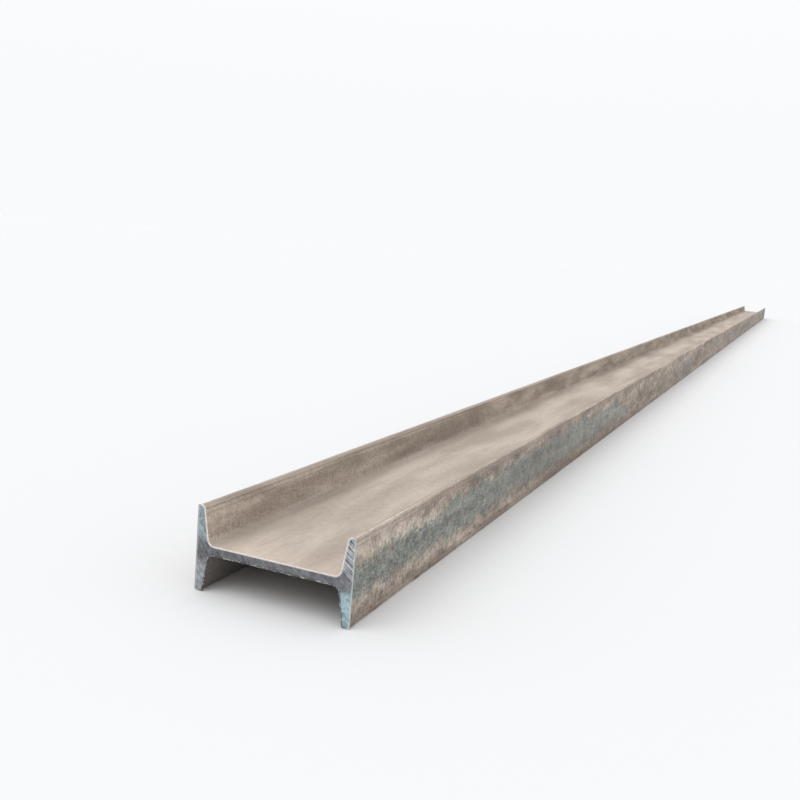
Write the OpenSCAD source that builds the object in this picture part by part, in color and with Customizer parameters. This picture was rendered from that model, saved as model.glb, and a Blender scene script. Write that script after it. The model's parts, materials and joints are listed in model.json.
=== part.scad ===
// Hot-rolled steel I-beam with tapered flanges, one piece of stock cut square at both ends.
// It lies as it is stored: the web level, the two flanges upright, standing on their toes.
// X runs across the section from flange to flange, Y along the beam and Z up.
// The origin is on the floor, under the middle of the beam. All sizes are in millimetres.

/* [Section] */
// Height of the section, over the outer faces of the two flanges
section_height = 200; // [160:1:320]
// Width of each flange, from toe to toe
flange_width = 102; // [80:1:140]
// Thickness of the web
web_thickness = 9; // [5:0.5:14]
// Mean thickness of a flange, halfway between its toe and the web
flange_thickness = 11.4; // [9:0.1:18]
// Taper of a flange's inner face: it thins by 1 in this many towards the toe
taper_run = 6; // [5:0.5:12]

/* [Rounds] */
// Radius of the fillets at the root, where the web meets the flanges
root_radius = 9; // [4:0.5:14]
// Radius of the round on the inner side of each toe
toe_radius = 4.5; // [2:0.5:5]
// Radius of the slight round on the outer edge of each toe
edge_radius = 1.5; // [0.5:0.25:2]

/* [Length] */
// Length that the beam is cut to
beam_length = 9000; // [1000:100:12000]

/* [Hidden] */
$fn = 64;

half_height = section_height / 2;
half_width = flange_width / 2;
half_web = web_thickness / 2;

// A flange's inner face is the line x = face_x(y) in the section, for y from the web to the toe.
taper = 1 / taper_run;
mean_y = (half_width + half_web) / 2;
function face_x(y) = half_height - flange_thickness + taper * (y - mean_y);

// Unit normal of that face, out of the steel and into the trough between the flanges.
normal_length = sqrt(1 + taper * taper);
face_normal = [-1, taper] / normal_length;

// Centre of a root fillet: one radius away from the web's face and from the tapered face.
root_y = half_web + root_radius;
root_centre = [face_x(root_y) - root_radius * normal_length, root_y];

// Centre of a toe's inner round: one radius inside the toe's end and inside the tapered face.
toe_thickness = half_height - face_x(half_width);
widest_toe_round = (toe_thickness - edge_radius) / (normal_length - taper);
toe_round = min(toe_radius, widest_toe_round);
toe_y = half_width - toe_round;
toe_centre = [face_x(toe_y) + toe_round * normal_length, toe_y];

// Centre of the slight round on a toe's outer edge.
edge_centre = [half_height - edge_radius, half_width - edge_radius];

// The cuts run this far past the section, so that no two faces fall together.
overcut = 10;
// Each round is this hair larger, so that it crosses the faces it runs into and leaves no step.
hair = 0.0002;

// What a round takes off the corner outside it: the corner spans the directions a and b,
// which point from the round's centre to where it touches the two faces.
module corner_waste(centre, radius, a, b) {
    reach = 2 * radius;
    translate(centre)
        difference() {
            polygon([[0, 0], reach * a, reach * (a + b), reach * b]);
            circle(r = radius + hair);
        }
}

// Half of a trough, from the beam's middle to one flange, with its root fillet.
module half_trough() {
    top_y = half_width + overcut;
    root_touch = root_centre - root_radius * face_normal;
    polygon([
        [0, half_web],
        [root_centre.x, half_web],
        root_centre,
        root_touch,
        [face_x(top_y), top_y],
        [0, top_y],
    ]);
    translate(root_centre)
        circle(r = root_radius + hair);
}

// One quarter of the section: half of the web and half of one flange.
module section_quarter() {
    difference() {
        square([half_height, half_width]);
        half_trough();
        corner_waste(toe_centre, toe_round, face_normal, [0, 1]);
        corner_waste(edge_centre, edge_radius, [1, 0], [0, 1]);
    }
}

// The whole section, centred on the web.
module section() {
    for (side = [0, 1], end = [0, 1])
        mirror([side, 0])
            mirror([0, end])
                section_quarter();
}

// The beam: the section rolled out along Y and raised until its toes stand on the floor.
module i_beam() {
    color([0.60, 0.55, 0.50])
        translate([0, 0, half_width])
            rotate([90, 0, 0])
                linear_extrude(height = beam_length, center = true)
                    section();
}

i_beam();
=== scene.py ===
# %% [markdown]
# # A hot-rolled steel I-beam
#
# The real beam is one piece of steel. A white-hot billet runs through a train of rolls until its
# section is an I with tapered flanges, and a circular saw then cuts it to length. Everything that
# can be seen on it comes from that: the rounded toes and roots are the shape of the rolls, the
# grey skin is mill scale, the tan film over it is rust dust from the yard, and the bright ends
# show the marks of the saw. This lesson builds it in that order.
#
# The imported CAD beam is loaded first. It gives every size, and nothing here moves or resizes it.

# %% Load the frame
import json
from math import atan, cos, degrees, pi, radians, sin, sqrt

import bpy
import numpy as np
from mathutils import Matrix, Vector
from mathutils.geometry import delaunay_2d_cdt


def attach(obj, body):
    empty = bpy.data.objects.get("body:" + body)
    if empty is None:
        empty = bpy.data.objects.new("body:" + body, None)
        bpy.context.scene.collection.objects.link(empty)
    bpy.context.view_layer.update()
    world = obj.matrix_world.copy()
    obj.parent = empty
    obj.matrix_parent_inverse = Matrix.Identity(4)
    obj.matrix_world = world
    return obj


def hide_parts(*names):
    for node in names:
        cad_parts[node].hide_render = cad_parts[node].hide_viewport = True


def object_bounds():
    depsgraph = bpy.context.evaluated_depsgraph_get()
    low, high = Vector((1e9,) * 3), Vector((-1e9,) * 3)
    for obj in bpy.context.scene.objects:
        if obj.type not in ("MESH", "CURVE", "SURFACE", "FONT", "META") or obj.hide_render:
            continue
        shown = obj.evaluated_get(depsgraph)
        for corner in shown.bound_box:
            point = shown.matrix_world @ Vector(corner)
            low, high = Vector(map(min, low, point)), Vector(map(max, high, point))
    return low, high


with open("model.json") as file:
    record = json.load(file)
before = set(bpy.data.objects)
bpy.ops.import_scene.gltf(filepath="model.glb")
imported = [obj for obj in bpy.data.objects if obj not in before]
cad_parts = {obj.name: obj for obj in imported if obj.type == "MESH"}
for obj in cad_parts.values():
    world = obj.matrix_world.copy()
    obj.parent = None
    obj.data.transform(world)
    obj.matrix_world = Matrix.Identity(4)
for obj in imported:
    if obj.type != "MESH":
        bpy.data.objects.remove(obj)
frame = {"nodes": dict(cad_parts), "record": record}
cad_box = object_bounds()
scene = bpy.context.scene
mounts = {m["name"]: Vector(m["pos_m"]) for m in frame["record"]["mounts"]}
print("mounts:", ", ".join(mounts))

# %% [markdown]
# ## Sizes
#
# The beam lies on its side with the web level, so X runs across the section, Y along the beam and
# Z up. The box of the CAD beam gives its length, the height of the section and the width of the
# flanges, and two mounts give the web. The rounds and the taper are those of the rolls: they are
# named here and then compared with the CAD mesh, so that a wrong one would show at once.

# %% Sizes of the section
MM = 0.001
low, high = cad_box
half_length = (high.y - low.y) / 2
half_height = (high.x - low.x) / 2  # of the section, out to the flanges' outer faces
half_width = (high.z - low.z) / 2  # of a flange, up to its toes
middle_z = (high.z + low.z) / 2
half_web = (mounts["web_upper_face"].z - mounts["web_lower_face"].z) / 2

flange_thickness = 11.4 * MM  # halfway between toe and web
taper = 1 / 6  # how fast the inner face closes in towards the root
root_radius = 9 * MM
toe_radius = 4.5 * MM
edge_radius = 1.5 * MM
print(f"beam {2 * half_length:.2f} m long, section {2 * half_height / MM:.0f} mm high,"
      f" flanges {2 * half_width / MM:.0f} mm wide, web {2 * half_web / MM:.1f} mm")

# %% [markdown]
# ## The outline of the section
#
# The section is the same all along, so it is drawn once, as a closed line. One quarter is enough:
# from the middle of a flange's outer face, round the outer edge and the toe, down the tapered inner
# face, round the root and along the web. Mirrored three times it closes the loop. Every flat ends in
# a point just short of each round, which keeps smooth shading from bleeding out over the flat.

# %% One quarter of the outline
HUG = 0.6 * MM
LEAN = atan(taper)


def inner_face(out):
    """How far a flange's inner face is from the middle of the section, that far out from the web's."""
    return half_height - flange_thickness + taper * (out - (half_width + half_web) / 2)


def arc(centre, radius, start, end, steps):
    turns = np.linspace(start, end, steps + 1)
    return [centre + radius * Vector((cos(turn), sin(turn))) for turn in turns]


def flat(start, end, steps):
    """Points along a flat: close to both of its ends and evenly between them."""
    hug = HUG / (end - start).length
    return [start.lerp(end, share) for share in (hug, *np.linspace(0, 1, steps + 1)[1:-1], 1 - hug)]


def quarter():
    edge = arc(Vector((half_height - edge_radius, half_width - edge_radius)), edge_radius, 0, pi / 2, 3)
    toe_y = half_width - toe_radius
    toe_x = inner_face(toe_y) + toe_radius / cos(LEAN)
    toe = arc(Vector((toe_x, toe_y)), toe_radius, pi / 2, pi - LEAN, 5)
    root_y = half_web + root_radius
    root_x = inner_face(root_y) - root_radius / cos(LEAN)
    root = arc(Vector((root_x, root_y)), root_radius, -LEAN, -pi / 2, 7)
    face_middle = Vector((half_height, 0))
    web_middle = Vector((0, half_web))
    return [
        face_middle, *flat(face_middle, edge[0], 5)[1:], *edge, *toe,
        *flat(toe[-1], root[0], 5), *root, *flat(root[-1], web_middle, 6)[:-1], web_middle,
    ]


corner = quarter()
print(len(corner), "points in a quarter")

# %% The closed outline, compared with the CAD mesh
def mirrored(points, x, y):
    return [Vector((x * point.x, y * point.y)) for point in points]


outline = (
    corner
    + mirrored(corner, -1, 1)[-2::-1]
    + mirrored(corner, -1, -1)[1:]
    + mirrored(corner, 1, -1)[-2:0:-1]
)
ring = np.array(outline)
girth = np.linalg.norm(ring - np.roll(ring, 1, axis=0), axis=1).sum()


def from_outline(points):
    """How far each point is from the outline."""
    starts, ends = ring, np.roll(ring, -1, axis=0)
    along = ends - starts
    nearest = np.full(len(points), np.inf)
    for start, step in zip(starts, along):
        share = np.clip((points - start) @ step / (step @ step), 0, 1)
        gap = np.linalg.norm(points - start - share[:, None] * step, axis=1)
        nearest = np.minimum(nearest, gap)
    return nearest


cad_points = np.array([v.co for v in frame["nodes"]["i_beam"].data.vertices])
cad_section = cad_points[:, [0, 2]] - [0, middle_z]
print(f"{len(outline)} points round the section, none of the CAD's further off than"
      f" {from_outline(cad_section).max() / MM:.3f} mm")

# %% [markdown]
# ## The sawn face
#
# A circular saw leaves a flat face with shallow curved ridges. A face made of one big polygon can't
# carry them, and a plain fill would give long thin triangles. So the face is filled with an even
# lattice of points and triangulated between them. Each point also keeps how far it is from the
# outline, because the saw drags a rim there, which the finish paints bright as a highlight.

# %% A lattice inside the outline
LATTICE = 0.95 * MM


def inside(points):
    """Which points are inside the outline, by counting the edges that a ray to the right crosses."""
    starts, ends = ring, np.roll(ring, -1, axis=0)
    crossed = np.zeros(len(points), bool)
    for (x1, y1), (x2, y2) in zip(starts, ends):
        if y1 == y2:
            continue
        spans = (points[:, 1] < y1) != (points[:, 1] < y2)
        meets_x = x1 + (points[:, 1] - y1) * (x2 - x1) / (y2 - y1)
        crossed ^= spans & (points[:, 0] < meets_x)
    return crossed


def lattice():
    rows = np.arange(-half_width, half_width, LATTICE * sqrt(3) / 2)
    columns = np.arange(-half_height, half_height, LATTICE)
    points = np.array([(x + row % 2 * LATTICE / 2, y) for row, y in enumerate(rows) for x in columns])
    points = points[inside(points)]
    return points[from_outline(points) > LATTICE / 2]


fill = lattice()
print(len(fill), "lattice points inside the outline")

# %% The sawn face as a mesh
def sawn_face_mesh():
    edges = [(i, (i + 1) % len(ring)) for i in range(len(ring))]
    flat_points = [Vector(p) for p in (*ring, *fill)]
    inner_triangles_only = 1
    points, _, faces, *_ = delaunay_2d_cdt(flat_points, edges, [], inner_triangles_only, 1e-7)
    faces = [face[::-1] for face in faces] if runs_clockwise(points, faces[0]) else faces
    mesh = bpy.data.meshes.new("sawn_face")
    mesh.from_pydata([(p.x, 0, p.y + middle_z) for p in points], [], faces)
    from_edge = mesh.attributes.new("from_edge", "FLOAT", "POINT")
    from_edge.data.foreach_set("value", from_outline(np.array(points)).astype(np.float32))
    return mesh


def runs_clockwise(points, face):
    a, b, c = (points[i] for i in face)
    return (b - a).cross(c - a) < 0


sawn_face = bpy.data.objects.new("sawn_face", sawn_face_mesh())
print(len(sawn_face.data.polygons), "triangles, facing", sawn_face.data.polygons[0].normal[:])

# %% [markdown]
# ## Sums as nodes
#
# Shapes and finishes below are both rules, written as nodes. Typing a rule as a sum is easier to
# read than placing a node for every plus sign, so a small class lets ordinary sums build them.

# %% A field that sums can be written with
def feed(tree, socket, value):
    if isinstance(value, Field):
        value = value.socket
    if isinstance(value, bpy.types.NodeSocket):
        tree.links.new(value, socket)
    else:
        socket.default_value = value


def put(tree, kind, feeds=(), **settings):
    """Adds a node, sets its settings and feeds its inputs, by name or by number."""
    node = tree.nodes.new(kind)
    for name, value in settings.items():
        setattr(node, name, value)
    for key, value in dict(feeds).items():
        feed(tree, node.inputs[key], value)
    return node


class Field:
    """A number that varies over a surface. A sum with it adds Math nodes to its tree."""

    def __init__(self, tree, socket):
        self.tree, self.socket = tree, socket

    def sum(self, operation, *others):
        node = put(self.tree, "ShaderNodeMath", enumerate((self, *others)), operation=operation)
        return Field(self.tree, node.outputs[0])

    def __add__(self, other):
        return self.sum("ADD", other)

    def __mul__(self, other):
        return self.sum("MULTIPLY", other)

    def __sub__(self, other):
        return self.sum("SUBTRACT", other)

    def __rsub__(self, other):
        return self.sum("MULTIPLY_ADD", -1, other)

    def __truediv__(self, other):
        return self.sum("DIVIDE", other)

    def __rtruediv__(self, other):
        return self.sum("POWER", -1) * other

    def __abs__(self):
        return self.sum("ABSOLUTE")

    __radd__, __rmul__ = __add__, __mul__

    def level(self, start, end):
        """0 below start, 1 above end, and a smooth ramp between them."""
        feeds = {"Value": self, "From Min": start, "From Max": end}
        node = put(self.tree, "ShaderNodeMapRange", feeds, interpolation_type="SMOOTHSTEP")
        return Field(self.tree, node.outputs[0])


# %% Places and grain
def split(tree, vector):
    node = put(tree, "ShaderNodeSeparateXYZ", {0: vector})
    return [Field(tree, socket) for socket in node.outputs]


def joined(tree, x=0.0, y=0.0, z=0.0):
    return put(tree, "ShaderNodeCombineXYZ", {0: x, 1: y, 2: z}).outputs[0]


def grain(tree, places, size, seed, detail=2.0, roughness=0.5):
    """Noise from 0 to 1 whose blotches are about this size, along X, Y and Z, in metres."""
    counts = [1 / length for length in size]
    scaled = put(tree, "ShaderNodeVectorMath", {0: places, 1: counts}, operation="MULTIPLY").outputs[0]
    feeds = {"Vector": scaled, "W": seed, "Scale": 1.0, "Detail": detail, "Roughness": roughness}
    node = put(tree, "ShaderNodeTexNoise", feeds, noise_dimensions="4D")
    return Field(tree, node.outputs[0])


# %% [markdown]
# ## The marks of the saw
#
# The blade is a disc much larger than the beam, so its teeth leave lines that are arcs of one large
# circle. Here they slope down to the right at about 45 degrees. They are deepest where the blade
# bit in first, at the upper right, and die away from there. The rule is written once and used twice:
# as real ridges on the sawn face and as dark and light lines in its finish, so that the two agree.

# %% Where the saw stood, and the rule for its marks
BLADE_REACH = 0.46  # from the middle of the section to the middle of the blade
MARK_SLOPE = radians(-45)
blade_x = -sin(MARK_SLOPE) * BLADE_REACH
blade_z = middle_z + cos(MARK_SLOPE) * BLADE_REACH


def saw_marks(tree, places, pitch, length, seed):
    """Noise drawn out along the path of the teeth: lines about a pitch wide and a length long."""
    x, _, z = split(tree, places)
    across, rise = x - blade_x, z - blade_z
    reach = (across * across + rise * rise).sum("SQRT")
    swept = across.sum("ARCTAN2", rise) * BLADE_REACH
    return grain(tree, joined(tree, reach, swept), (pitch, length, 1), seed, detail=1)


def bite(tree, places):
    """How hard the teeth bit: 1 in the upper right flange, down to 0 at the web and beyond."""
    x, _, z = split(tree, places)
    return (x / half_height + (z - middle_z) / half_width).level(0.85, 1.35)


print(f"saw centre at x {blade_x:.3f} m, z {blade_z:.3f} m")

# %% [markdown]
# ## Finish: the rolled skin
#
# Mill scale is the grey-blue skin that forms while the steel is hot. In the yard a film of rust dust
# settles over it. On the outer face of a flange the dust is thick near the toes and thin in a band
# along the middle, where the grey shows through. The border of that band isn't a line: rain and
# handling drag the dust into short upright streaks, like blades of grass. All patterns read the
# object's own coordinates, so they stay put from every side.

# %% Material helpers
def new_material(name):
    """A material with one Principled shader, ready for its sockets to be fed."""
    material = bpy.data.materials.new(name)
    material.use_nodes = True
    tree = material.node_tree
    tree.nodes.clear()
    shader = put(tree, "ShaderNodeBsdfPrincipled")
    put(tree, "ShaderNodeOutputMaterial", {"Surface": shader.outputs[0]})
    places = put(tree, "ShaderNodeTexCoord").outputs["Object"]
    return material, tree, shader, places


def blend(tree, share, under, over):
    """The under colour where the share is 0 and the over colour where it is 1."""
    node = put(tree, "ShaderNodeMix", {0: share, 6: under, 7: over}, data_type="RGBA")
    return node.outputs[2]


def shaded(tree, colour, share):
    return put(tree, "ShaderNodeVectorMath", {0: colour, "Scale": share}, operation="SCALE").outputs[0]


def rgb(red, green, blue):
    return (red, green, blue, 1.0)


# %% The rolled skin
def rolled_skin():
    material, tree, shader, places = new_material("rolled_skin")
    x, y, z = split(tree, places)
    height = (z - middle_z) / (2 * half_width)  # -0.5 at the lower toe, 0.5 at the upper one
    _, _, facing_up = split(tree, put(tree, "ShaderNodeTexCoord").outputs["Normal"])
    outer_face = abs(x).level(half_height - 1.2 * MM, half_height - 0.5 * MM)
    in_trough = 1 - abs(x).level(half_height - 4 * MM, half_height - 2 * MM)

    # Upright streaks of three widths, flecks of two sizes, and blotches from 20 mm to half a metre.
    blades = streaks(tree, places, 1)
    strokes = streaks(tree, places, 4).level(0.40, 0.60)
    flecks = grain(tree, places, (2.2 * MM, 4.5 * MM, 2.2 * MM), 7, detail=2, roughness=0.7)
    grit = grain(tree, places, (6 * MM, 12 * MM, 9 * MM), 8, detail=2).level(0.36, 0.64)
    mottle = grain(tree, places, (40 * MM, 160 * MM, 30 * MM), 9, detail=3)
    spread = grain(tree, places, (80 * MM, 600 * MM, 80 * MM), 19, detail=2)
    smears = grain(tree, places, (22 * MM, 260 * MM, 13 * MM), 21, detail=2).level(0.36, 0.64)

    # The dust: tan, rosy and rusty by turns, and rubbed smooth along the toes.
    tan = blend(tree, mottle.level(0.38, 0.62), rgb(0.252, 0.205, 0.168), rgb(0.376, 0.318, 0.264))
    rosy = grain(tree, places, (30 * MM, 60 * MM, 22 * MM), 10)
    tan = blend(tree, rosy.level(0.54, 0.70) * outer_face * 0.6, tan, rgb(0.340, 0.245, 0.240))
    rusty = grain(tree, places, (60 * MM, 180 * MM, 30 * MM), 22, detail=3) - height * 0.25
    tan = blend(tree, rusty.level(0.66, 0.78) * 0.6, tan, rgb(0.300, 0.195, 0.135))
    smooth_toe = 1 - (0.5 - abs(height)).level(0.085, 0.135)
    streak_depth = (0.3 + outer_face * 0.7) * (1 - smooth_toe * 0.7)
    tan = shaded(tree, tan, 1 + (strokes - 0.44) * streak_depth * 0.78)
    tan = shaded(tree, tan, 1 + smooth_toe * height.level(0.3, 0.4) * 0.04)
    tan = shaded(tree, tan, 0.76 + flecks.level(0.32, 0.68) * 0.38 + smears * 0.12)

    # The bare mill scale, and the dust that meets it in upright tufts.
    grey = blend(tree, flecks.level(0.36, 0.64), rgb(0.088, 0.103, 0.091), rgb(0.266, 0.286, 0.252))
    grey = blend(tree, rosy.level(0.28, 0.40), rgb(0.150, 0.172, 0.182), grey)
    mossy = grain(tree, places, (9 * MM, 30 * MM, 9 * MM), 20).level(0.56, 0.68)
    grey = blend(tree, mossy * 0.6, grey, rgb(0.165, 0.195, 0.140))
    grey = shaded(tree, grey, 0.42 + grit * 0.30 + strokes * 0.42 + smears * 0.34)
    bare = bare_band(tree, places, height, blades) * outer_face
    skin = blend(tree, bare * (1 - strokes * 0.22), tan, grey)
    border = bare * (1 - bare) * outer_face
    skin = shaded(tree, skin, 1 + border * 0.6)
    skin = shaded(tree, skin, 0.77 + spread.level(0.3, 0.7) * 0.34)

    # Brown dirt: over the band from half a metre on, and along the lower edge for the next metre.
    further = y.level(-half_length + 0.2, -half_length + 0.8)
    dirty = further * (1 - abs(height).level(0.12, 0.30)) * 0.24
    damp = further * (1 - y.level(-half_length + 1.4, -half_length + 1.9))
    dirty = dirty + damp * (1 - height.level(-0.25, -0.10)) * 0.36
    skin = blend(tree, dirty * outer_face, skin, rgb(0.140, 0.105, 0.070))

    # Dark spots low down, and the lines along the toes.
    spots = grain(tree, places, (7 * MM, 12 * MM, 7 * MM), 11, detail=2).level(0.58, 0.66)
    low_down = (1 - height.level(-0.36, -0.18)) * outer_face
    skin = blend(tree, spots * low_down * 0.8, skin, rgb(0.115, 0.085, 0.065))
    skin = shaded(tree, skin, toe_lines(tree, places, height))

    # Pale dust that settled on the web, painted shade in its roots, and dark scale where none could fall,
    # partly painted shade.
    settled = facing_up.level(0.3, 0.8) * in_trough
    dust = grain(tree, places, (55 * MM, 320 * MM, 55 * MM), 12, detail=4)
    cream = blend(tree, dust.level(0.34, 0.66), rgb(0.345, 0.285, 0.237), rgb(0.485, 0.415, 0.350))
    cream = shaded(tree, cream, 0.84 + flecks * 0.22 + grit * 0.08)
    # Painted shade: the web's dust darkens towards the roots, where the flanges shade it.
    painted_root_shade = abs(x).level(half_height - 42 * MM, half_height - 14 * MM)
    # Painted light: the web's dust is brighter in the first few centimetres from each end, where more sky
    # reaches in.
    painted_light_near_end = 1 - (half_length - abs(y)).level(5 * MM, 60 * MM)
    cream = shaded(tree, cream, 1 - painted_root_shade * 0.22 + painted_light_near_end * 0.14)
    # Painted light: the inner faces of the flanges above the web are made about a sixth brighter.
    painted_light_on_inner_faces = in_trough * height.level(0.03, 0.06)
    skin = blend(tree, settled, shaded(tree, skin, 1 + painted_light_on_inner_faces * 0.16), cream)
    # Bare dark scale and painted shade: the lower trough is darkened, partly because no dust settles there
    # and partly to stand for its shade.
    undusted_and_painted_shade = in_trough * (1 - height.level(-0.06, -0.03))
    dark_scale_and_painted_shade = shaded(tree, rgb(0.15, 0.14, 0.13)[:3], 0.6 + flecks * 0.8)
    skin = blend(tree, undusted_and_painted_shade * 0.85, skin, dark_scale_and_painted_shade)

    relief = flecks * (0.15 * MM) + grit * (0.08 * MM) + bare * (-0.2 * MM) + strokes * (0.07 * MM)
    bump = put(tree, "ShaderNodeBump", {"Height": relief, "Distance": 1.0, "Strength": 0.8})
    feed(tree, shader.inputs["Base Color"], skin)
    feed(tree, shader.inputs["Roughness"], 0.85 - bare * 0.28)
    feed(tree, shader.inputs["Normal"], bump.outputs[0])
    return material


def streaks(tree, places, seed):
    """Upright streaks of three widths, laid over each other."""
    thin = grain(tree, places, (10 * MM, 4.5 * MM, 9 * MM), seed, roughness=0.6)
    broad = grain(tree, places, (15 * MM, 13 * MM, 13 * MM), seed + 1)
    wide = grain(tree, places, (26 * MM, 48 * MM, 22 * MM), seed + 2)
    return thin * 0.4 + broad * 0.3 + wide * 0.3


def bare_band(tree, places, height, blades):
    """Where mill scale shows: a wandering band along the middle, patchy towards the far end."""
    _, y, _ = split(tree, places)
    wander = grain(tree, places, (1, 0.45, 1), 14)
    swell = grain(tree, places, (1, 0.3, 1), 15)
    patches = grain(tree, places, (0.3, 0.7, 0.12), 16, detail=3)
    wider = y.level(-half_length, -half_length + 0.7) * 0.07
    inside = 0.205 + wider + (swell - 0.5) * 0.10 - abs(height - (wander - 0.5) * 0.16)
    jagged = (inside + (blades - 0.5) * 1.2).level(-0.03, 0.05)
    near = 1 - y.level(-0.76 * half_length, -0.60 * half_length)
    return jagged * (patches + near * 0.25).level(0.48, 0.58) * (0.78 + near * 0.22)


def toe_lines(tree, places, height):
    """Lengthwise lines that the rolls drew along each toe: a pale edge and darker lines beside it."""
    drawn = grain(tree, places, (1.5 * MM, 900 * MM, 1.5 * MM), 17, detail=1)
    wobble = grain(tree, places, (1, 0.15, 1), 18)
    from_toe = 0.5 - abs(height) + (wobble - 0.5) * 0.015
    near_toe = 1 - from_toe.level(0.03, 0.12)
    pale_edge = 1 - from_toe.level(0.020, 0.032)
    first_line = 1 - abs(from_toe - 0.042).level(0.002, 0.011)
    second_line = 1 - abs(from_toe - 0.098).level(0.002, 0.012)
    return 1 + (drawn - 0.5) * near_toe * 0.8 + pale_edge * 0.26 - first_line * 0.26 - second_line * 0.2


rolled = rolled_skin()
print("rolled skin:", len(rolled.node_tree.nodes), "nodes")

# %% [markdown]
# ## Finish: bare sawn steel
#
# Where the saw went through, the steel is bare, pale and a little blue. The teeth leave darker lines
# of two widths. Oil darkens the web and smudges it brown, because the blade rubs there longest, and
# the dragged rim along the upper trough is painted pale as a highlight. It is a metal, but a rough
# one, so that it mirrors the sky as a soft sheen.

# %% The sawn steel
def sawn_steel():
    material, tree, shader, places = new_material("sawn_steel")
    x, _, z = split(tree, places)
    above = (z - middle_z) / half_width  # -1 at the lower toes, 1 at the upper ones
    to_right = x / half_height  # -1 at the left flange, 1 at the right one
    deep = bite(tree, places)
    broad = saw_marks(tree, places, 2.6 * MM, 60 * MM, 11)
    fine = saw_marks(tree, places, 1.3 * MM, 25 * MM, 12)
    smudges = grain(tree, places, (28 * MM, 28 * MM, 16 * MM), 13, detail=4, roughness=0.6)
    mealy = grain(tree, places, (4 * MM, 4 * MM, 6 * MM), 14, detail=3, roughness=0.65).level(0.36, 0.64)
    from_edge = Field(tree, put(tree, "ShaderNodeAttribute", attribute_name="from_edge").outputs["Fac"])

    lower_right = (1 - above.level(-0.30, 0.05)) * to_right.level(0.4, 0.9)
    upper_left = above.level(0.0, 0.4) * (1 - to_right.level(-0.9, -0.4))
    steel = blend(tree, lower_right + upper_left * 0.5, rgb(0.395, 0.415, 0.440), rgb(0.350, 0.475, 0.505))
    steel = shaded(tree, steel, 0.76 + to_right.level(-0.8, 0.6) * 0.22)
    across_web = 1 - abs(above).level(0.10, 0.36)
    darkest = 1 - abs(to_right - 0.6).level(0.1, 0.3)
    steel = shaded(tree, steel, 1 - across_web * (0.50 + darkest * 0.07 - to_right.level(0.8, 0.95) * 0.26))
    stain = (smudges + across_web * 0.08).level(0.54, 0.70)
    steel = blend(tree, stain * 0.6, steel, rgb(0.165, 0.145, 0.165))
    lines = (broad.level(0.40, 0.58) - 0.5) * (0.22 + deep * 0.58) + (fine.level(0.36, 0.64) - 0.5) * 0.26
    cloudy = grain(tree, places, (11 * MM, 11 * MM, 7 * MM), 15, detail=3, roughness=0.6).level(0.38, 0.62)
    patchy = mealy * 0.36 + cloudy * 0.20
    steel = shaded(tree, steel, 0.67 + lines + patchy - deep * 0.12)
    at_side = abs(x).level(half_height - 2.5 * MM, half_height - 1 * MM)
    upper_trough = (z - middle_z).level(0, half_web) * (1 - at_side)
    # Painted highlight: a pale rim along the cut's edge, strongest along the upper trough and weaker on the
    # flanges' sides, as if catching the light.
    rim = (1 - from_edge.level(0.5 * MM, 1.5 * MM)) * (upper_trough * 0.75 + at_side * 0.35)
    steel = blend(tree, rim, steel, rgb(0.80, 0.76, 0.71))

    relief = broad * (deep + 0.2) * (0.15 * MM) + fine * (0.08 * MM)
    bump = put(tree, "ShaderNodeBump", {"Height": relief, "Distance": 1.0, "Strength": 0.7})
    feed(tree, shader.inputs["Base Color"], steel)
    shader.inputs["Metallic"].default_value = 0.6
    feed(tree, shader.inputs["Roughness"], 0.42 + stain * 0.3 + fine * 0.1)
    feed(tree, shader.inputs["Normal"], bump.outputs[0])
    return material


sawn = sawn_steel()
print("sawn steel:", len(sawn.node_tree.nodes), "nodes")

# %% [markdown]
# ## Finish: the burr
#
# The lip that the saw dragged out is thin and bare, and along the upper edges it is painted as the
# brightest steel of all, a painted highlight. In the lower trough it is torn, and its flakes are by turns
# dark and light, the dark partly painted shade.

# %% The torn burr
def burr_steel():
    material, tree, shader, places = new_material("burr_steel")
    x, _, z = split(tree, places)
    flecks = grain(tree, places, (2.6 * MM, 2.6 * MM, 2.6 * MM), 21, detail=1)
    at_side = abs(x).level(half_height - 4 * MM, half_height - 2 * MM)
    in_lower_trough = (1 - (z - middle_z).level(-half_web, half_web)) * (1 - at_side)
    # Painted shade: in the lower trough the torn flakes are partly dark, standing in part for the shade
    # there.
    torn = blend(tree, flecks.level(0.46, 0.66), rgb(0.085, 0.082, 0.085), rgb(0.46, 0.46, 0.46))
    # Painted highlight: elsewhere the bead is pale cream as if catching the light, and greyer on the
    # flanges' outer sides.
    bright = blend(tree, flecks.level(0.3, 0.6), rgb(0.60, 0.56, 0.52), rgb(0.80, 0.76, 0.71))
    bright = blend(tree, at_side, bright, rgb(0.42, 0.43, 0.45))
    feed(tree, shader.inputs["Base Color"], blend(tree, in_lower_trough, bright, torn))
    shader.inputs["Metallic"].default_value = 0.3
    feed(tree, shader.inputs["Roughness"], 0.35 + flecks * 0.3)
    return material


torn = burr_steel()
print("burr steel:", len(torn.node_tree.nodes), "nodes")

# %% [markdown]
# ## Rolling the beam
#
# A beam is a section drawn along a line, which is what Curve to Mesh does. The line gets more points
# near the two ends, where small marks are seen close up, and fewer in the middle. Two sawn faces are
# joined on and merged with the first and last ring, so the result is one closed solid. The rolls
# leave a slight waviness, handling nicks the toes, and the saw ridges stand on the cut faces.

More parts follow.
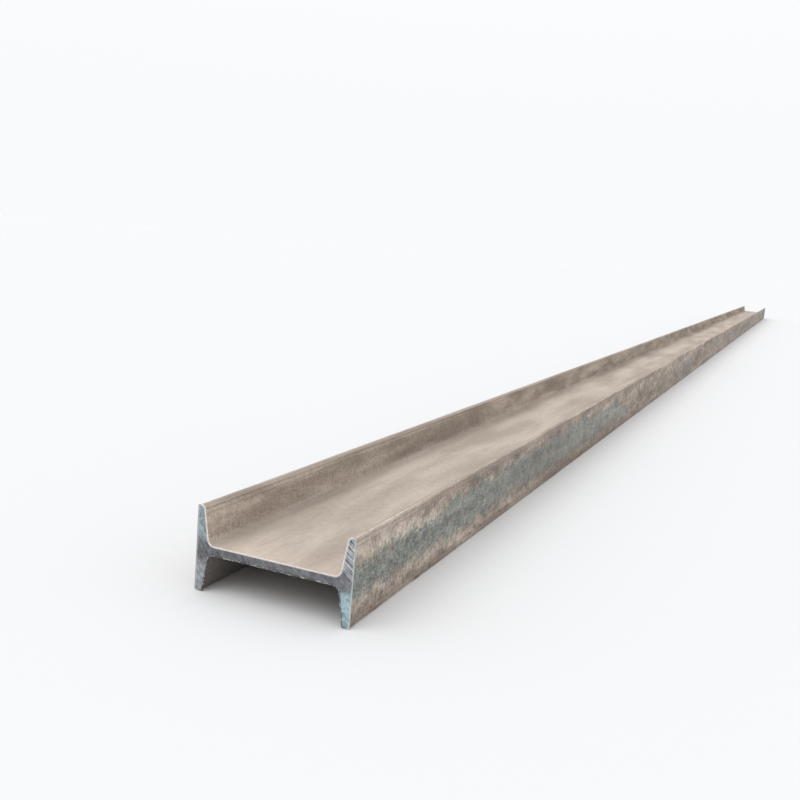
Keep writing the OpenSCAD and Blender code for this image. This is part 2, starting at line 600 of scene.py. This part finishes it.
# %% Trees with named inputs
def new_tree(name, inputs):
    """A Geometry Nodes tree with named inputs, and those inputs as fields."""
    tree = bpy.data.node_groups.new(name, "GeometryNodeTree")
    kinds = {"Geometry": "Geometry", **inputs}
    for label, kind in kinds.items():
        tree.interface.new_socket(label, in_out="INPUT", socket_type="NodeSocket" + kind)
    tree.interface.new_socket("Geometry", in_out="OUTPUT", socket_type="NodeSocketGeometry")
    given = put(tree, "NodeGroupInput").outputs
    return tree, {label: Field(tree, given[label]) for label in kinds}


def geometry(tree, kind, feeds, **settings):
    return put(tree, kind, feeds, **settings).outputs[0]


def finish_tree(tree, shape, *finishes):
    """Ends a tree: the shape is made real and given each material where its choice of faces is true."""
    shape = geometry(tree, "GeometryNodeRealizeInstances", {0: shape})
    for material, chosen in finishes:
        shape = geometry(tree, "GeometryNodeSetMaterial", {0: shape, 1: chosen, 2: material})
    put(tree, "NodeGroupOutput", {0: shape})


def grow(name, start, tree, values):
    """Runs the tree on a mesh with these inputs and returns the result as a plain object."""
    piece = bpy.data.objects.new(name, start)
    scene.collection.objects.link(piece)
    modifier = piece.modifiers.new("grow", "NODES")
    modifier.node_group = tree
    sockets = {s.name: s.identifier for s in tree.interface.items_tree if s.in_out == "INPUT"}
    for label, value in values.items():
        modifier[sockets[label]] = value
    depsgraph = bpy.context.evaluated_depsgraph_get()
    mesh = bpy.data.meshes.new_from_object(piece.evaluated_get(depsgraph), depsgraph=depsgraph)
    piece.modifiers.clear()
    piece.data = mesh
    mesh.name = name
    drop_empty_slots(mesh)
    return piece


def drop_empty_slots(mesh):
    """Set Material leaves an empty first slot on a mesh that began with none; this drops it."""
    slots = list(mesh.materials)
    worn = [material for material in slots if material]
    index = [worn.index(slots[face.material_index]) for face in mesh.polygons]
    mesh.materials.clear()
    for material in worn:
        mesh.materials.append(material)
    mesh.polygons.foreach_set("material_index", index)


# %% The tree that rolls the beam
def rolling_tree():
    tree, given = new_tree("roll_a_beam", {
        "Half length": "Float", "Rings": "Int", "End crowding": "Float", "Sawn face": "Object",
        "Roll wave": "Float", "Wave length": "Float", "Nick depth": "Float", "Ridge height": "Float",
        "Seed": "Float", "Rolled skin": "Material", "Sawn steel": "Material",
    })
    half = given["Half length"]
    line = geometry(tree, "GeometryNodeCurvePrimitiveLine",
                    {0: joined(tree, y=half * -1, z=middle_z), 1: joined(tree, y=half, z=middle_z)})
    line = geometry(tree, "GeometryNodeResampleCurve", {"Curve": line, "Count": given["Rings"]})
    place = put(tree, "GeometryNodeInputPosition").outputs[0]
    _, y, z = split(tree, place)
    share = y / half
    crowded = share * (1.5 - share * share * 0.5)
    crowding = given["End crowding"]
    y = (crowded * crowding + share * (1 - crowding)) * half
    line = geometry(tree, "GeometryNodeSetPosition", {0: line, 2: joined(tree, y=y, z=z)})

    section = geometry(tree, "GeometryNodeMeshToCurve", {0: given["Geometry"]})
    walked = put(tree, "GeometryNodeSplineParameter").outputs["Length"]
    section = geometry(tree, "GeometryNodeStoreNamedAttribute", {0: section, 2: "round", 3: walked})
    skin = geometry(tree, "GeometryNodeCurveToMesh", {0: line, 1: section})
    return tree, given, girth_on_corners(tree, skin)


def girth_on_corners(tree, skin):
    """Keeps the way round the outline on each face's corners, so that the last face doesn't jump back."""
    named = put(tree, "GeometryNodeInputNamedAttribute", {0: "round"})
    way = Field(tree, named.outputs[0])
    mean = Field(tree, put(tree, "GeometryNodeFieldOnDomain", {0: way}, domain="FACE").outputs[0])
    jumped = (mean - way).sum("GREATER_THAN", girth / 4)
    feeds = {0: skin, 2: "way_round", 3: way + jumped * girth}
    return geometry(tree, "GeometryNodeStoreNamedAttribute", feeds, domain="CORNER")


def with_ends(tree, given, skin):
    """Closes the rolled skin with a sawn face at each end."""
    half = given["Half length"]
    face = put(tree, "GeometryNodeObjectInfo", {0: given["Sawn face"]}).outputs["Geometry"]
    near = geometry(tree, "GeometryNodeTransform", {0: face, 1: joined(tree, y=half * -1)})
    turned = geometry(tree, "GeometryNodeFlipFaces", {0: face})
    far = geometry(tree, "GeometryNodeTransform", {0: turned, 1: joined(tree, y=half)})
    ends = put(tree, "GeometryNodeJoinGeometry")
    for end in (near, far):
        tree.links.new(end, ends.inputs[0])
    tree.links.new(skin, ends.inputs[0])
    return geometry(tree, "GeometryNodeMergeByDistance", {0: ends.outputs[0], 2: 0.02 * MM})


def worked(tree, given, whole):
    """Waves the skin, nicks the toes and raises the ridges of the saw."""
    place = put(tree, "GeometryNodeInputPosition").outputs[0]
    x, y, z = split(tree, place)
    from_end = given["Half length"] - abs(y)
    on_end = 1 - from_end.level(0.0, 0.05 * MM)

    wave_places = put(tree, "ShaderNodeVectorMath", {0: place, "Scale": 1 / given["Wave length"]},
                      operation="SCALE").outputs[0]
    wave = grain(tree, wave_places, (1, 1, 1), given["Seed"], detail=1)
    normal = put(tree, "GeometryNodeInputNormal").outputs[0]
    # The wave stays mostly below 0.75, so the skin sinks and the beam keeps within its box.
    push = (wave - 0.75) * given["Roll wave"] * (1 - on_end)
    waved = put(tree, "ShaderNodeVectorMath", {0: normal, "Scale": push}, operation="SCALE").outputs[0]
    whole = geometry(tree, "GeometryNodeSetPosition", {0: whole, 3: waved})

    height = z - middle_z
    at_toe = abs(height).level(half_width - 4 * MM, half_width)
    knocks = grain(tree, place, (16 * MM, 16 * MM, 60 * MM), given["Seed"] + 1, detail=3, roughness=0.6)
    depth = knocks.level(0.60, 0.80) * at_toe * given["Nick depth"] * from_end.level(0.0, 8 * MM)
    down = height.sum("SIGN") * depth * -1
    whole = geometry(tree, "GeometryNodeSetPosition", {0: whole, 3: joined(tree, z=down)})

    ridges = saw_marks(tree, place, 2.6 * MM, 60 * MM, 11) * (0.3 + bite(tree, place) * 0.7)
    out = y.sum("SIGN") * (ridges - 1) * given["Ridge height"] * on_end
    return geometry(tree, "GeometryNodeSetPosition", {0: whole, 3: joined(tree, y=out)})


def on_sawn_faces(tree, given):
    _, y, _ = split(tree, put(tree, "GeometryNodeInputPosition").outputs[0])
    return abs(y).sum("GREATER_THAN", given["Half length"] - 0.5 * MM)


rolling, given, skin = rolling_tree()
whole = worked(rolling, given, with_ends(rolling, given, skin))
finish_tree(rolling, whole, (given["Rolled skin"], True),
            (given["Sawn steel"], on_sawn_faces(rolling, given)))
print("rolling tree:", len(rolling.nodes), "nodes")

# %% The beam
def loop_mesh(points):
    """A closed line through these points, for a tree to work on."""
    edges = [(i, (i + 1) % len(points)) for i in range(len(points))]
    mesh = bpy.data.meshes.new("outline")
    mesh.from_pydata(points, edges, [])
    return mesh


beam = grow("rolled_beam", loop_mesh([(p.x, p.y, 0) for p in outline]), rolling, {
    "Half length": half_length, "Rings": 520, "End crowding": 0.85, "Sawn face": sawn_face,
    "Roll wave": 0.3 * MM, "Wave length": 0.12, "Nick depth": 1.4 * MM, "Ridge height": 0.2 * MM,
    "Seed": 5.0, "Rolled skin": rolled, "Sawn steel": sawn,
})
beam.data.shade_smooth()
beam.data.set_sharp_from_angle(angle=radians(35))
beam.data.calc_loop_triangles()
print("beam:", len(beam.data.loop_triangles), "triangles,",
      [material.name for material in beam.data.materials])

# %% Is it closed, and does it face outwards?
def closed_volume(mesh):
    """The volume inside the mesh, after checking that every edge joins exactly two faces."""
    counts = np.zeros(len(mesh.edges), int)
    edge_of_corner = np.zeros(len(mesh.loops), int)
    mesh.loops.foreach_get("edge_index", edge_of_corner)
    np.add.at(counts, edge_of_corner, 1)
    places = np.zeros(len(mesh.vertices) * 3)
    mesh.vertices.foreach_get("co", places)
    corners = np.zeros(len(mesh.loop_triangles) * 3, int)
    mesh.loop_triangles.foreach_get("vertices", corners)
    a, b, c = places.reshape(-1, 3)[corners.reshape(-1, 3)].swapaxes(0, 1)
    return np.einsum("ij,ij->i", a, np.cross(b, c)).sum() / 6, (counts != 2).sum()


volume, open_edges = closed_volume(beam.data)
print(f"volume {volume * 1e6:.0f} cm3, {open_edges} open edges")

# %% [markdown]
# ## A map that spends its points well
#
# When the finishes are baked into one square picture, it has to hold 9 m of beam. Unrolled evenly that
# leaves about 9 mm to a point, and the marks at the ends would be lost. So the skin is cut into five
# lengths. The last metre at each end gets half the width of the picture, the lengths between them
# share the rest in three rows, and the sawn faces, which carry the finest marks, stand in a column.

# %% Places on the map
MAP_SIDE = 1024  # points along a side of the baked picture
MAP_GAP = 6  # points left free round each place
END_LENGTH = 1.0  # metres of beam in each of the two large places
END_ROW = 397  # their height
COLUMN = 160  # width of the places for the sawn faces
row = (MAP_SIDE - END_ROW) / 3
column_left = MAP_SIDE - COLUMN
half_side = MAP_SIDE / 2

end_places = [(0, 3 * row, half_side, END_ROW), (half_side, 3 * row, half_side, END_ROW)]
middle_places = [(0, level * row, column_left, row) for level in range(3)]
sawn_places = [(column_left, side * 1.5 * row, COLUMN, 1.5 * row) for side in range(2)]
skin_places = [end_places[0], *middle_places, end_places[1]]
print(len(skin_places), "places for the skin and", len(sawn_places), "for the sawn faces")


# %% The map of the beam
def read(items, name, width, kind=float):
    values = np.zeros(len(items) * width, kind)
    items.foreach_get(name, values)
    return values.reshape(-1, width).squeeze()


def fitted(values, start, room):
    """These values moved and stretched to fill the room from its start, less the gaps."""
    share = (values - values.min()) / np.ptp(values)
    return (start + MAP_GAP + share * (room - 2 * MAP_GAP)) / MAP_SIDE


def map_beam(mesh):
    x, y, z = read(mesh.vertices, "co", 3)[read(mesh.loops, "vertex_index", 1, int)].T
    way_round = read(mesh.attributes["way_round"].data, "value", 1)
    corners_of_face = read(mesh.polygons, "loop_total", 1, int)
    middles = read(mesh.polygons, "center", 3)[:, 1]
    cuts = np.linspace(-half_length + END_LENGTH, half_length - END_LENGTH, 4)
    part = np.digitize(middles, cuts)
    is_sawn = read(mesh.polygons, "material_index", 1, int) == list(mesh.materials).index(sawn)
    part[is_sawn] = 5 + (middles[is_sawn] > 0)
    part = np.repeat(part, corners_of_face)

    across, up = y.copy(), way_round
    across[part >= 5] = -z[part >= 5]
    up[part >= 5] = (x * np.where(part == 5, 1, -1))[part >= 5]
    spots = np.zeros((len(x), 2))
    for number, (left, bottom, width, height) in enumerate(skin_places + sawn_places):
        chosen = part == number
        spots[chosen, 0] = fitted(across[chosen], left, width)
        spots[chosen, 1] = fitted(up[chosen], bottom, height)
        print(f"part {number}: {np.ptp(across[chosen]) / width / MM:.1f} by"
              f" {np.ptp(up[chosen]) / height / MM:.1f} mm to a point")
    mesh.uv_layers.new(name="OFBake").uv.foreach_set("vector", spots.astype(np.float32).ravel())


map_beam(beam.data)
for helper in ("round", "way_round"):
    if helper in beam.data.attributes:
        beam.data.attributes.remove(beam.data.attributes[helper])
print("kept on the beam:", [a.name for a in beam.data.attributes if not a.is_internal])

# %% [markdown]
# ## The burr round the cut
#
# A saw that leaves the steel drags a thin lip over the edge, which stands out from the outline. Along
# the upper edges it is a fine bead, painted bright as a highlight, and in the lower trough it is torn
# into small flakes. It follows the outline, so it is grown along it: a bead whose thickness and place
# noise makes uneven.

# %% The tree that drags the burr
def burr_tree():
    tree, given = new_tree("drag_a_burr", {
        "End": "Float", "Step": "Float", "Bead": "Float", "Lip": "Float", "Tear": "Float",
        "Seed": "Float", "Burr steel": "Material",
    })
    line = geometry(tree, "GeometryNodeMeshToCurve", {0: given["Geometry"]})
    line = geometry(tree, "GeometryNodeResampleCurve", {"Curve": line, "Length": given["Step"]},
                    mode="LENGTH")
    place = put(tree, "GeometryNodeInputPosition").outputs[0]
    x, y, z = split(tree, place)
    ahead_x, _, ahead_z = split(tree, put(tree, "GeometryNodeInputTangent").outputs[0])
    seed = given["Seed"]
    in_lower_trough = (1 - z.level(middle_z - half_web, middle_z)) * (
        1 - abs(x).level(half_height - 6 * MM, half_height))
    ragged = grain(tree, place, (2.4 * MM, 1, 2.4 * MM), seed, detail=2, roughness=0.7)
    uneven = grain(tree, place, (12 * MM, 1, 12 * MM), seed + 1)
    torn_here = in_lower_trough * given["Tear"] * ragged.level(0.35, 0.70)
    thickness = given["Bead"] * (0.6 + uneven * 0.8) + torn_here * 0.3
    lip = given["Lip"] * (0.4 + uneven * 1.2) + torn_here
    side = given["End"].sum("SIGN")
    out = given["End"] + side * (torn_here * 0.4 - thickness * 0.3)
    # Its middle stays so far above the floor that the bead itself can't dip below.
    above_floor = (z - ahead_x * lip).sum("MAXIMUM", thickness * 1.4)
    place = joined(tree, x + ahead_z * lip, out, above_floor)
    line = geometry(tree, "GeometryNodeSetPosition", {0: line, 2: place})
    dot = put(tree, "GeometryNodeCurvePrimitiveCircle", {"Resolution": 6, "Radius": 1.0}).outputs[0]
    bead = geometry(tree, "GeometryNodeCurveToMesh", {0: line, 1: dot, "Scale": thickness})
    finish_tree(tree, bead, (given["Burr steel"], True))
    return tree


burring = burr_tree()

# %% A burr at each end
def burr(name, end, seed):
    start = loop_mesh([(p.x, 0, p.y + middle_z) for p in outline])
    piece = grow(name, start, burring, {
        "End": end, "Step": 0.8 * MM, "Bead": 0.5 * MM, "Lip": 0.45 * MM, "Tear": 1.2 * MM,
        "Seed": seed, "Burr steel": torn,
    })
    piece.data.shade_smooth()
    piece.data.calc_loop_triangles()
    return piece


burrs = [burr("near_burr", -half_length, 31.0), burr("far_burr", half_length, 37.0)]
for piece in burrs:
    print(piece.name, len(piece.data.loop_triangles), "triangles, volume and open edges",
          closed_volume(piece.data))

# %% [markdown]
# ## The floor, the light and the camera
#
# The beam stands on a pale floor under an even, overcast studio sky, with one very soft sun from the
# front left, so that the trough stays readable and the toes throw a soft shadow.

# %% Floor
FLOOR_REACH = 120
corners = [(-FLOOR_REACH, -FLOOR_REACH, 0), (FLOOR_REACH, -FLOOR_REACH, 0),
           (FLOOR_REACH, FLOOR_REACH, 0), (-FLOOR_REACH, FLOOR_REACH, 0)]
floor_mesh = bpy.data.meshes.new("floor")
floor_mesh.from_pydata(corners, [], [(0, 1, 2, 3)])
floor = bpy.data.objects.new("floor", floor_mesh)
scene.collection.objects.link(floor)
pale, _, floor_shader, _ = new_material("pale_floor")
floor_shader.inputs["Base Color"].default_value = rgb(0.70, 0.70, 0.70)
floor_shader.inputs["Roughness"].default_value = 0.9
floor_shader.inputs["Specular IOR Level"].default_value = 0.2
floor_mesh.materials.append(pale)
print("floor", 2 * FLOOR_REACH, "m wide")

# %% Sky and sun
world = bpy.data.worlds.new("studio")
scene.world = world
world.use_nodes = True
sky = world.node_tree
sky.nodes.clear()
_, _, upward = split(sky, put(sky, "ShaderNodeTexCoord").outputs["Generated"])
tone = blend(sky, upward.level(0.1, 0.9), rgb(0.950, 0.957, 0.966), rgb(1.15, 1.16, 1.18))
background = put(sky, "ShaderNodeBackground", {"Color": tone, "Strength": 1.0})
put(sky, "ShaderNodeOutputWorld", {"Surface": background.outputs[0]})

sun = bpy.data.objects.new("soft_sun", bpy.data.lights.new("soft_sun", "SUN"))
sun.data.energy = 1.0
sun.data.angle = radians(50)
toward_sun = Vector((-0.35, -0.55, 0.9))
sun.rotation_euler = toward_sun.to_track_quat("Z", "Y").to_euler()
scene.collection.objects.link(sun)
scene.view_settings.view_transform = "Standard"
print("sun", round(degrees(sun.data.angle)), "degrees wide")

# %% Camera
# Its place is given in flange widths from the middle of the near end's foot.
flange_width = 2 * half_width
near_foot = Vector((0, -half_length, 0))
camera = bpy.data.objects.new("camera", bpy.data.cameras.new("camera"))
camera.data.sensor_width = 36
camera.data.lens = 42.2
camera.data.clip_end = 500
yaw = Matrix.Rotation(radians(23.0), 3, "Z")
pitch = Matrix.Rotation(radians(-9.35), 3, "X")
roll = Matrix.Rotation(radians(-4.82), 3, "Y")
right, forward, up = (yaw @ pitch @ roll).transposed()
camera.matrix_world = Matrix.Translation(
    near_foot + flange_width * Vector((4.947, -8.488, 4.038))
) @ Matrix((right, up, -forward)).transposed().to_4x4()
scene.collection.objects.link(camera)
scene.camera = camera
print("camera at", [round(c, 3) for c in camera.matrix_world.translation])

# %% [markdown]
# ## Handing it over
#
# The rolled beam stands for the CAD beam. The burrs ride on the same body, because nothing moves.

# %% Bodies, and the CAD beam hidden
for piece in (beam, *burrs):
    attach(piece, "root")
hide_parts("i_beam")
